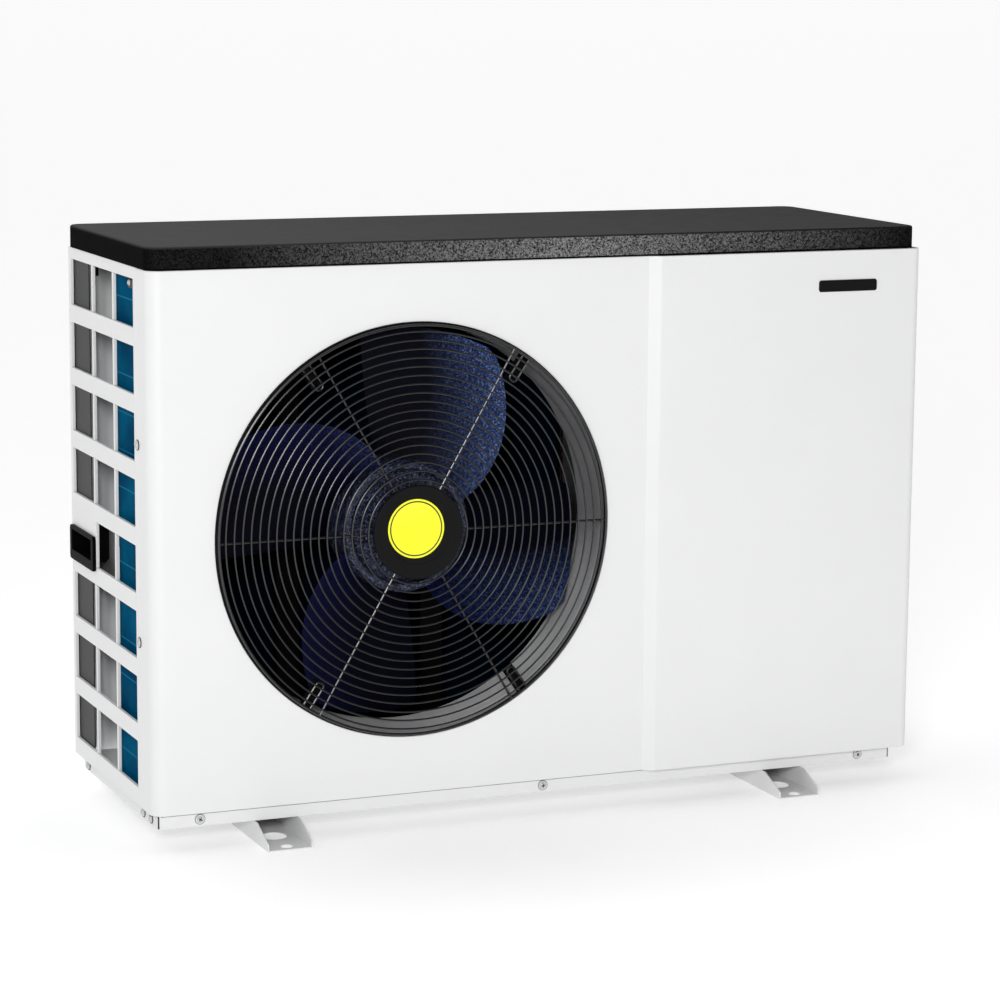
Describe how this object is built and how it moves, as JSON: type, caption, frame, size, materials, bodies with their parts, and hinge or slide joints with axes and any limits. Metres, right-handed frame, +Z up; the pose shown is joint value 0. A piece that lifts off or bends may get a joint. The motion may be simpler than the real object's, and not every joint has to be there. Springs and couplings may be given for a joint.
{
  "type": "pool heat pump unit",
  "caption": "Free-standing air-source water heater for pools: sheet-metal case, axial fan behind a ring guard, slotted side over a finned coil, water unions on the right side.",
  "frame": {"origin": "centre of the footprint, on the ground under the feet", "axes": "+X to the right along the front, towards the water connections; +Y from the front to the back; +Z up"},
  "size_m": [1.039, 0.414, 0.6833],
  "materials": {
    "case_white": "satin powder coat",
    "lid_grain": "coarse dark grain",
    "gloss_black": "high gloss",
    "guard_black": "semi-gloss dip coat",
    "fan_navy": "satin moulded",
    "zinc_plate": "galvanised",
    "dark_plate": "satin",
    "steel": "satin",
    "blue_fins": "blue coated fins",
    "copper": "drawn copper",
    "brass": "machined",
    "titanium": "drawn",
    "pvc_grey": "moulded",
    "black_plastic": "moulded",
    "rubber": "moulded",
    "tank_black": "satin",
    "board_green": "lacquered board",
    "smoke": "smoked clear",
    "key_grey": "moulded"
  },
  "bodies": {
    "case": {"base_pan": "case_white", "drain_spout": "black_plastic", "foot_left": "case_white", "foot_right": "case_white", "front_panel": "case_white", "left_grille_panel": "case_white", "right_side_panel": "case_white", "rear_left_post": "dark_plate", "rear_service_panel": "case_white", "rear_coil_guard": "case_white", "top_cover": "lid_grain", "handle_left": "gloss_black", "handle_right": "gloss_black", "fan_guard": "guard_black", "guard_cap": "guard_black", "fan_shroud": "gloss_black", "fan_motor": "steel", "motor_bracket": "dark_plate", "evaporator_coil": "blue_fins", "coil_plate_front": "zinc_plate", "coil_plate_right": "zinc_plate", "coil_header": "copper", "partition_plate": "zinc_plate", "compressor": "tank_black", "compressor_mount_1": "rubber", "compressor_mount_2": "rubber", "compressor_mount_3": "rubber", "accumulator": "tank_black", "four_way_valve": "brass", "discharge_pipe": "copper", "suction_pipe": "copper", "coil_gas_pipe": "copper", "exchanger_gas_pipe": "copper", "filter_drier": "brass", "liquid_pipe": "copper", "exchanger_shell": "pvc_grey", "titanium_coil": "titanium", "water_inlet_pipe": "pvc_grey", "water_outlet_pipe": "pvc_grey", "inlet_adapter": "pvc_grey", "outlet_adapter": "pvc_grey", "flow_switch": "black_plastic", "electrical_box": "zinc_plate", "control_board": "board_green", "terminal_block": "pvc_grey", "run_capacitor": "steel", "pressure_gauge": "steel", "controller_housing": "pvc_grey", "cable_gland": "black_plastic"},
    "fan": {"fan_rotor": "fan_navy", "fan_nut": "zinc_plate", "motor_shaft": "steel"},
    "control_cover": {"controller_cover": "smoke"},
    "key_1": {"controller_key_1": "key_grey"},
    "key_2": {"controller_key_2": "key_grey"},
    "key_3": {"controller_key_3": "key_grey"},
    "needle": {"gauge_needle": "black_plastic"},
    "inlet_nut": {"inlet_union_nut": "black_plastic"},
    "outlet_nut": {"outlet_union_nut": "black_plastic"},
    "paddle": {"flow_paddle": "titanium"}
  },
  "joints": [
    {"name": "fan_spin", "type": "hinge", "parent": "case", "child": "fan", "pos_m": [-0.1995, -0.104, 0.3495], "axis": [0, -1, 0], "continuous": true},
    {"name": "cover_hinge", "type": "hinge", "parent": "case", "child": "control_cover", "pos_m": [0.4575, -0.074, 0.605], "axis": [0, -1, 0], "range_deg": [0, 110]},
    {"name": "key_1_press", "type": "slide", "parent": "case", "child": "key_1", "axis": [-1, 0, 0], "range_m": [0, 0.001], "stiffness_N_per_m": 400},
    {"name": "key_2_press", "type": "slide", "parent": "case", "child": "key_2", "axis": [-1, 0, 0], "range_m": [0, 0.001], "stiffness_N_per_m": 400},
    {"name": "key_3_press", "type": "slide", "parent": "case", "child": "key_3", "axis": [-1, 0, 0], "range_m": [0, 0.001], "stiffness_N_per_m": 400},
    {"name": "needle_turn", "type": "hinge", "parent": "case", "child": "needle", "pos_m": [0.4535, 0.041, 0.561], "axis": [-1, 0, 0], "range_deg": [0, 270], "stiffness_Nm_per_rad": 0.0005},
    {"name": "inlet_nut_turn", "type": "hinge", "parent": "case", "child": "inlet_nut", "pos_m": [0.4715, 0.071, 0.151], "axis": [1, 0, 0], "continuous": true},
    {"name": "outlet_nut_turn", "type": "hinge", "parent": "case", "child": "outlet_nut", "pos_m": [0.4715, 0.071, 0.441], "axis": [1, 0, 0], "continuous": true},
    {"name": "paddle_swing", "type": "hinge", "parent": "case", "child": "paddle", "pos_m": [0.4195, 0.071, 0.168], "axis": [0, 1, 0], "range_deg": [0, 25], "stiffness_Nm_per_rad": 0.005}
  ]
}
